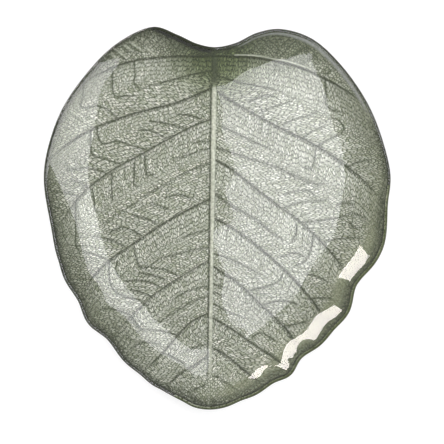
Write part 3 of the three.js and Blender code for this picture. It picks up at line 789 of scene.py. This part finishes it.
class Look:
    """A node material and short calls to wire it."""

    def __init__(self, name):
        self.material = bpy.data.materials.new(name)
        self.material.use_nodes = True
        self.tree = self.material.node_tree
        self.shader = self.tree.nodes["Principled BSDF"]
        self.coords = self.add("ShaderNodeTexCoord").outputs["Object"]

    def add(self, kind, **settings):
        node = self.tree.nodes.new(kind)
        for key, value in settings.items():
            setattr(node, key, value)
        return node

    def link(self, source, target):
        self.tree.links.new(source, target)

    def set(self, **values):
        for key, value in values.items():
            self.shader.inputs[key.replace("_", " ")].default_value = value

    def feed(self, name, source):
        self.link(source, self.shader.inputs[name])

    def attribute(self, name, output="Fac"):
        return self.add("ShaderNodeAttribute", attribute_name=name).outputs[output]

    def axis(self, vector, name):
        node = self.add("ShaderNodeSeparateXYZ")
        self.link(vector, node.inputs[0])
        return node.outputs[name]

    def measure(self, operation, vector):
        """A place's distance from a point, or how far it lies along a direction."""
        node = self.add("ShaderNodeVectorMath", operation=operation)
        self.link(self.coords, node.inputs[0])
        node.inputs[1].default_value = vector
        return node.outputs["Value"]

    def noise(self, scale, detail=3.0):
        node = self.add("ShaderNodeTexNoise")
        self.link(self.coords, node.inputs["Vector"])
        node.inputs["Scale"].default_value = scale
        node.inputs["Detail"].default_value = detail
        return node.outputs["Fac"]

    def dapple(self, scale, dark, pale, detail=2.0):
        """Soft spots of two tones."""
        return self.mix(self.span(self.noise(scale, detail), 0.35, 0.65), dark, pale)

    def cells(self, vector, feature):
        node = self.add("ShaderNodeTexVoronoi", feature=feature, voronoi_dimensions="2D")
        self.link(vector, node.inputs["Vector"])
        node.inputs["Scale"].default_value = 1.0
        node.inputs["Randomness"].default_value = STROKE_SCATTER
        return node

    def lines(self, across, spacing, core, half_width):
        """Lines at uneven places along one coordinate, in its units."""
        node = self.add("ShaderNodeTexVoronoi", feature="DISTANCE_TO_EDGE", voronoi_dimensions="1D")
        self.link(across, node.inputs["W"])
        node.inputs["Scale"].default_value = 1 / spacing
        return self.span(node.outputs["Distance"], core / spacing, half_width / spacing, 1.0, 0.0, True)

    def mapped(self, vector, size):
        node = self.add("ShaderNodeMapping", vector_type="TEXTURE")
        self.link(vector, node.inputs["Vector"])
        node.inputs["Scale"].default_value = (*size, 1)
        return node.outputs["Vector"]

    def warped(self, vector, scale, reach):
        noise = self.add("ShaderNodeTexNoise")
        self.link(vector, noise.inputs["Vector"])
        noise.inputs["Scale"].default_value = scale
        noise.inputs["Detail"].default_value = 1.0
        node = self.add("ShaderNodeVectorMath", operation="MULTIPLY_ADD")
        self.link(noise.outputs["Color"], node.inputs[0])
        node.inputs[1].default_value = (reach, reach, 0)
        self.link(vector, node.inputs[2])
        return node.outputs["Vector"]

    def strokes(self, vector, size):
        """Short silver and green strokes of a given width and length, with dark green between them."""
        small = self.mapped(self.warped(vector, 0.3, 1.0), size)
        gap = self.cells(small, "DISTANCE_TO_EDGE").outputs["Distance"]
        tone = self.cells(small, "F1").outputs["Color"]
        stroke = self.mix(self.span(tone, 0.05, 0.95), STROKE_DULL, STROKE_BRIGHT)
        return self.mix(self.span(gap, 0.0, 0.27, 0.0, 1.0, True), STROKE_GAP, stroke)

    def times(self, one, two):
        node = self.add("ShaderNodeMath", operation="MULTIPLY")
        self.link(one, node.inputs[0])
        self.link(two, node.inputs[1])
        return node.outputs[0]

    def span(self, source, low, high, to_low=0.0, to_high=1.0, smooth=False):
        node = self.add("ShaderNodeMapRange")
        node.interpolation_type = "SMOOTHSTEP" if smooth else "LINEAR"
        self.link(source, node.inputs["Value"])
        for name, value in (("From Min", low), ("From Max", high), ("To Min", to_low), ("To Max", to_high)):
            node.inputs[name].default_value = value
        return node.outputs["Result"]

    def mix(self, factor, one, two, blend="MIX"):
        node = self.add("ShaderNodeMix", data_type="RGBA", blend_type=blend)
        self.link(factor, node.inputs["Factor"])
        colours = [s for s in node.inputs if s.type == "RGBA"]
        for socket, value in zip(colours, (one, two)):
            if isinstance(value, tuple):
                socket.default_value = (*value, 1.0)
            else:
                self.link(value, socket)
        return [s for s in node.outputs if s.type == "RGBA"][0]

    def bump(self, height, distance, strength):
        node = self.add("ShaderNodeBump")
        node.inputs["Strength"].default_value = strength
        node.inputs["Distance"].default_value = distance
        self.link(height, node.inputs["Height"])
        self.feed("Normal", node.outputs["Normal"])


def clear_glass():
    look = Look("clear_glass")
    look.set(Base_Color=(0.965, 0.985, 0.96, 1), IOR=1.52, Transmission_Weight=1.0)
    look.feed("Roughness", look.span(look.noise(40), 0.3, 0.7, 0.0, 0.012))
    return look.material


def ground_colour(look, loop):
    """Strokes that hang from each vein and lean over toward the next, crossed by dark loops."""
    leaf = look.attribute("leaf", "Vector")
    hanging = look.strokes(leaf, HANGING_STROKE)
    leaning = look.strokes(leaf, LEANING_STROKE)
    stroked = look.mix(look.span(look.axis(leaf, "Z"), *LEAN_FROM), hanging, leaning)
    return look.mix(look.span(loop, 0.0, 1.0, 0.0, 0.8), stroked, LOOP_GREEN)


def rim_colour_and_shade(look, ground):
    """Painted shade darkens the film up the rim, least at the tip and most on the right lobe, and a tint
    darkens it at the notch. Along the wavy side it is plainer."""
    margin = look.attribute("margin")
    above_tip = look.span(look.axis(look.coords, "Y"), *RIM_SHADE_LEVELS)
    # Painted shade up the rim, less toward the tip
    climbed = look.times(look.span(margin, *RIM_SHADE_CLIMB), above_tip)
    colour = look.mix(climbed, ground, RIM_SHADE, "MULTIPLY")
    wavy = look.span(look.measure("DOT_PRODUCT", PLAIN_WAY), *PLAIN_REACH)
    plain = look.times(wavy, look.span(margin, *PLAIN_CLIMB, 0.0, PLAIN_SHARE))
    colour = look.mix(plain, colour, look.dapple(*GRAIN))
    by_notch = look.span(look.measure("DISTANCE", NOTCH_MIDDLE), *NOTCH_TINT_REACH, 1.0, 0.0, True)
    colour = look.mix(by_notch, colour, NOTCH_TINT, "MULTIPLY")
    # Painted shade on the right lobe
    lobe_shade = look.span(look.measure("DISTANCE", LOBE_MIDDLE), *LOBE_SHADE_REACH, 1.0, 0.0, True)
    return look.mix(lobe_shade, colour, LOBE_SHADE, "MULTIPLY")


def vein_colour(look, film):
    """The painted highlights of the pale midrib and flanks, and the uneven dark veins with the midrib's
    painted shade.
    """
    vein = look.attribute("vein")
    highlighted = look.mix(look.span(vein, -0.7, 0.0, 1.0, 0.0), film, look.dapple(*HIGHLIGHT_CREAM))
    uneven = look.times(look.span(vein, 0.0, 1.0), look.span(look.noise(500, 2), 0.35, 0.6, 0.72, 1.0))
    return look.mix(uneven, highlighted, VEIN_GREEN)


def lip_colour(look, film):
    """The speckled dark lip, its black painted shadow and the cloudy bare glass."""
    edge = look.attribute("edge")
    speckled = look.times(look.span(edge, 0.0, 1.0), look.span(look.noise(800, 2), 0.42, 0.58, 0.15, 1.0))
    colour = look.mix(speckled, film, LIP_GREEN)
    colour = look.mix(look.span(edge, 1.0, 1.5), colour, LIP_SHADOW_BLACK)
    return look.mix(look.span(edge, -1.0, 0.0, 0.85, 0.0), colour, look.dapple(*BARE_GLASS))


def lacquer():
    """The metallic film as it shows through the glass: silver strokes, a fine green net and green veins."""
    look = Look("metallic_lacquer")
    along = look.axis(look.warped(look.attribute("leaf", "Vector"), 0.05, 9.0), "X")
    patchy = look.span(look.noise(45, 2), 0.35, 0.6, 0.1, 0.7)
    loop = look.times(look.lines(along, 5.0, 0.15, 0.5), patchy)
    film = vein_colour(look, rim_colour_and_shade(look, ground_colour(look, loop)))
    look.feed("Base Color", lip_colour(look, film))
    look.set(Metallic=0.5)
    look.feed("Roughness", look.span(look.noise(26), 0.3, 0.7, 0.5, 0.4))
    look.bump(loop, 0.0004, 0.6)
    return look.material


def coat(name, dark, pale, roughness, metallic):
    look = Look(name)
    look.feed("Base Color", look.dapple(60, dark, pale, 4))
    look.set(Metallic=metallic)
    look.feed("Roughness", look.span(look.noise(350), 0.3, 0.7, roughness - 0.06, roughness + 0.06))
    look.bump(look.noise(1500), 0.00004, 0.5)
    return look.material


def soft_pad():
    look = Look("clear_pad")
    look.set(Base_Color=(0.93, 0.95, 0.94, 1), IOR=1.49, Transmission_Weight=0.85)
    look.feed("Roughness", look.span(look.noise(500), 0.3, 0.7, 0.1, 0.22))
    look.bump(look.noise(700, 2), 0.00003, 0.4)
    return look.material


# The glass: a smooth top, a rounded edge that carries on the rim's slope, and a finely veined underside
top = Sheet(1)
veined = Sheet(FINE)
pressed, shade = relief(veined.flat)
top_ids, places = top.loop()
veined_ids, _ = veined.loop()
top_count = len(top.flat)
ring_count = len(top_ids)
under_start = top_count + (NOSE_STEPS - 1) * ring_count
top_faces = top.faces(0, True)


def nose_points():
    """The rings of the rounded edge, from the top to the underside."""
    rings = []
    out = outline_out(places)
    for k in range(1, NOSE_STEPS):
        angle = math.pi * k / NOSE_STEPS
        reach = EDGE_NOSE * math.sin(angle)
        share = (1 - math.cos(angle)) / 2
        z = lerp(top.top[top_ids], top.under[top_ids], share) + top.slope[top_ids] * reach
        rings.append(solid(top.flat[top_ids] + out * reach, z))
    return rings


def nose_faces():
    """Faces round the edge; those of the last row open out to the finer underside."""
    faces = []
    ring = top_ids
    for k in range(NOSE_STEPS - 1):
        next_ring = top_count + k * ring_count + np.arange(ring_count)
        faces += band_faces(ring, next_ring)
        ring = next_ring
    for i in range(ring_count):
        fan = [veined_ids[(i * FINE + k) % len(veined_ids)] + under_start for k in range(FINE + 1)]
        faces.append([ring[i], ring[(i + 1) % ring_count]] + fan[::-1])
    return faces


glass_points = [solid(top.flat, top.top), *nose_points(), solid(veined.flat, veined.under + pressed)]
glass_faces = top_faces + nose_faces() + veined.faces(under_start, False)
glass = new_piece("glass_leaf_body", np.concatenate(glass_points), glass_faces,
                  [clear_glass(), lacquer()], "glass_leaf", "clear_glass")

# The top is clear, and so is the upper part of the rounded edge except where the film runs over it
lip_x, lip_y = top.flat[top_ids].T
# Painted shadow: left of the notch the film runs over the edge in black
shadow_lip = (lip_x > SHADOW_LIP_LEFT) & (lip_x < SHADOW_LIP_RIGHT) & (lip_y > SHADOW_LIP_LEVEL)
coated_lip = (lip_x - lip_y > COATED_LIP) | shadow_lip
filmed = np.ones(len(glass_faces), dtype=np.int32)
filmed[:len(top_faces)] = 0
filmed[len(top_faces):len(top_faces) + NOSE_CLEAR * ring_count] = np.tile(coated_lip, NOSE_CLEAR)
glass.data.polygons.foreach_set("material_index", filmed)

# A crisp line between the top and the filmed part of the edge
OFF_LIP = -10
lip_place = np.full(under_start + len(veined.flat), OFF_LIP)
lip_place[top_ids[coated_lip]] = np.nonzero(coated_lip)[0]
pairs = np.zeros(len(glass.data.edges) * 2, dtype=np.int32)
glass.data.edges.foreach_get("vertices", pairs)
ends = lip_place[pairs].reshape(-1, 2)
sharp = (ends.min(1) >= 0) & (np.abs(ends[:, 0] - ends[:, 1]) == 1)
glass.data.attributes.new("sharp_edge", "BOOLEAN", "EDGE").data.foreach_set("value", sharp)


def point_values(name, on_top, on_nose, on_underside):
    """A value at each point of the glass, which the film's colour follows."""
    values = np.concatenate([on_top, on_nose, on_underside]).astype(np.float32)
    glass.data.attributes.new(name, "FLOAT", "POINT").data.foreach_set("value", values)


corners = np.zeros((len(glass.data.loops), 3), dtype=np.float32)
veined_uv = veined.corner_uv()
corners[-len(veined_uv):] = veined_uv
glass.data.attributes.new("leaf", "FLOAT_VECTOR", "CORNER").data.foreach_set("vector", corners.ravel())
nose_ones = np.ones(under_start - top_count)
# The vein values carry the dark veins and the midrib's painted shade, and below 0 the painted highlights
point_values("vein", np.zeros(top_count), nose_ones * NOSE_VEIN, shade)
point_values("margin", np.ones(top_count), nose_ones, veined.margin)
lip_edge = np.where(shadow_lip, SHADOW_LIP_STRENGTH, 1.0)
top_edge = np.ones(top_count)
top_edge[top_ids] = lip_edge
point_values("edge", top_edge, np.tile(lip_edge, NOSE_STEPS - 1), lip_shade(veined.flat, veined.margin))

# The two films: their upper and lower depths below the glass, and how closely they follow its veins
COLOUR_FILM = (0.08, 0.28)
BACKING_FILM = (0.32, 0.58)
FILM_FOLLOW = 0.75
FILM_EASE = 0.15


def film(name, node, slot, upper, lower, material):
    """A closed film under the glass, between two depths below its underside, pressed in at main veins."""
    base = top.under + FILM_FOLLOW * np.maximum(0, relief(top.flat, lesser=False)[0] - FILM_EASE)
    points = np.concatenate([solid(top.flat, base - upper), solid(top.flat, base - lower)])
    faces = top_faces + band_faces(top_ids, top_ids + top_count) + top.faces(top_count, False)
    return new_piece(name, points, faces, [material], node, slot)


film("colour_coat_film", "colour_coat", "metallic_lacquer", *COLOUR_FILM,
     coat("colour_film", (0.38, 0.41, 0.34), (0.46, 0.48, 0.42), 0.4, 0.7))
film("backing_coat_film", "backing_coat", "backing_lacquer", *BACKING_FILM,
     coat("backing_film", (0.40, 0.41, 0.38), (0.47, 0.48, 0.45), 0.45, 0.25))

PAD_SIDES = 48
PAD_CURVE = 12
PAD_BEVEL = 0.12


def pad(node, x, y, material):
    """A clear bumper with a flat foot, a domed side and a thin bonded band."""
    foot, side, shoulder = PAD_FOOT / 2, PAD_DIAMETER / 2, PAD_HEIGHT - PAD_BAND
    turn = np.linspace(0, math.pi / 2, PAD_CURVE + 1)
    profile = [(foot * 0.5, 0.0)]
    profile += [(lerp(foot, side, math.sin(t)), shoulder * (1 - math.cos(t))) for t in turn]
    profile += [(side, PAD_HEIGHT - PAD_BEVEL), (side - PAD_BEVEL, PAD_HEIGHT), (side * 0.5, PAD_HEIGHT)]
    sides = np.arange(PAD_SIDES)
    around = sides * 2 * math.pi / PAD_SIDES
    points = [(x + r * math.cos(a), y + r * math.sin(a), z) for r, z in profile for a in around]
    faces = []
    for k in range(len(profile) - 1):
        faces += band_faces(sides + (k + 1) * PAD_SIDES, sides + k * PAD_SIDES)
    faces.append(sides[::-1])
    faces.append(sides + (len(profile) - 1) * PAD_SIDES)
    return new_piece(node + "_bumper", points, faces, [material], node, "clear_pad")


pad_material = soft_pad()
for node, (x, y) in PAD_PLACES.items():
    pad(node, x, y, pad_material)

# The studio: a pale floor, a large overhead panel to the right, a slim one at the upper left
FLOOR_REACH = 12.0
FLOOR_GREY = 0.32
FLOOR_GLOW = 0.72
SURROUND_LIGHT = 0.86


def floor():
    mesh = bpy.data.meshes.new("floor")
    corners = [(-1, -1), (1, -1), (1, 1), (-1, 1)]
    mesh.from_pydata([(x * FLOOR_REACH, y * FLOOR_REACH, 0) for x, y in corners], [], [(0, 1, 2, 3)])
    obj = bpy.data.objects.new("floor", mesh)
    bpy.context.scene.collection.objects.link(obj)
    material = bpy.data.materials.new("floor")
    material.use_nodes = True
    tree = material.node_tree
    shader = tree.nodes["Principled BSDF"]
    shader.inputs["Base Color"].default_value = (FLOOR_GREY, FLOOR_GREY, FLOOR_GREY, 1)
    shader.inputs["Roughness"].default_value = 0.9
    shader.inputs["Emission Color"].default_value = (1, 1, 1, 1)
    path = tree.nodes.new("ShaderNodeLightPath")
    seen = path.outputs["Is Camera Ray"]
    for name in ("Is Glossy Ray", "Is Transmission Ray"):
        either = tree.nodes.new("ShaderNodeMath")
        either.operation = "MAXIMUM"
        tree.links.new(seen, either.inputs[0])
        tree.links.new(path.outputs[name], either.inputs[1])
        seen = either.outputs[0]
    glow = tree.nodes.new("ShaderNodeMath")
    glow.operation = "MULTIPLY"
    glow.inputs[1].default_value = FLOOR_GLOW
    tree.links.new(seen, glow.inputs[0])
    tree.links.new(glow.outputs[0], shader.inputs["Emission Strength"])
    mesh.materials.append(material)


def panel(name, at, size, turn, radiance, colour):
    """A level soft light that faces down, turned about the vertical."""
    light = bpy.data.lights.new(name, "AREA")
    light.shape = "RECTANGLE"
    light.size, light.size_y = size
    light.color = colour
    light.energy = radiance * math.pi * size[0] * size[1]
    obj = bpy.data.objects.new(name, light)
    bpy.context.scene.collection.objects.link(obj)
    obj.location = at
    obj.rotation_euler = (0, 0, math.radians(turn))


floor()
panel("overhead_panel", (0.308, 0.1085, 0.8), (0.602, 0.477), 0, 3.95, (1.0, 0.985, 1.05))
panel("upper_left_panel", (-0.911, 0.795, 0.8), (0.75, 0.42), 146, 14.5, (1.05, 0.97, 0.97))

world = bpy.data.worlds.new("studio")
bpy.context.scene.world = world
world.use_nodes = True
background = world.node_tree.nodes["Background"]
background.inputs["Color"].default_value = (1, 1, 1, 1)
background.inputs["Strength"].default_value = SURROUND_LIGHT

# The view from straight above, in metres. At the rim's level it takes in the photo's pixels at their size.
CAMERA_PLACE = (0.0035, -0.0031, 1.4)
RIM_LEVEL = 0.02
PHOTO_PIXELS = 444
PIXEL_SIZE = 0.7297
VIEW_ACROSS = PHOTO_PIXELS * PIXEL_SIZE * MILLI
SENSOR = 36
camera = bpy.data.cameras.new("camera")
camera_object = bpy.data.objects.new("camera", camera)
bpy.context.scene.collection.objects.link(camera_object)
camera.sensor_width = SENSOR
camera.lens = SENSOR * (CAMERA_PLACE[2] - RIM_LEVEL) / VIEW_ACROSS
camera_object.location = CAMERA_PLACE
bpy.context.scene.camera = camera_object
bpy.context.scene.view_settings.view_transform = "Standard"
